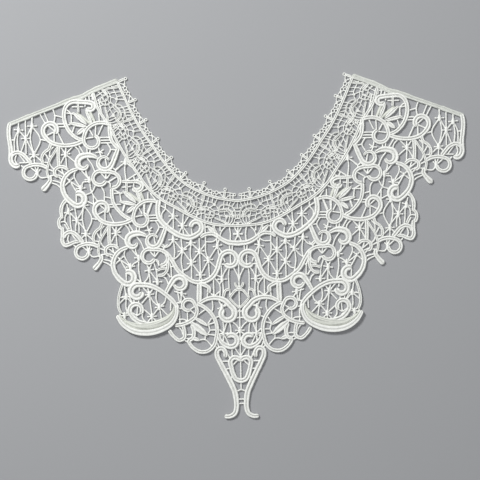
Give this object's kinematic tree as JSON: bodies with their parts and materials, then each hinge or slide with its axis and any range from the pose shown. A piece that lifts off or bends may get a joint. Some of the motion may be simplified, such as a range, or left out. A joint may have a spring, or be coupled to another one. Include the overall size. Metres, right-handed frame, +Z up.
{
  "type": "lace collar",
  "caption": "Flat guipure lace collar: scroll-work wings joined by thin brides, a net neck band with picots, padded crescents and a pointed pendant.",
  "frame": {"origin": "on the underside, at the centre front of the neck cord", "axes": "+X to the right as one looks down on the collar, +Y to the back of the neck, +Z up from the surface it lies on"},
  "size_m": [0.3608, 0.2697, 0.0028],
  "materials": {
    "cord": "off-white satin-stitched cord, matte",
    "net": "off-white thread net, matte",
    "satin": "off-white padded satin stitch, soft sheen"
  },
  "bodies": {
    "root": {"shoulder_bar_left": "cord", "shoulder_bar_right": "cord", "neck_band": "net", "neck_edging": "net", "crescent_left": "satin", "crescent_right": "satin", "wing_upper_left": "cord", "wing_upper_right": "cord", "wing_lower_left": "cord", "wing_lower_right": "cord", "front_panel": "cord", "lobe_left": "cord", "lobe_right": "cord", "bow_left": "cord", "bow_right": "cord", "pendant": "cord"}
  },
  "joints": []
}
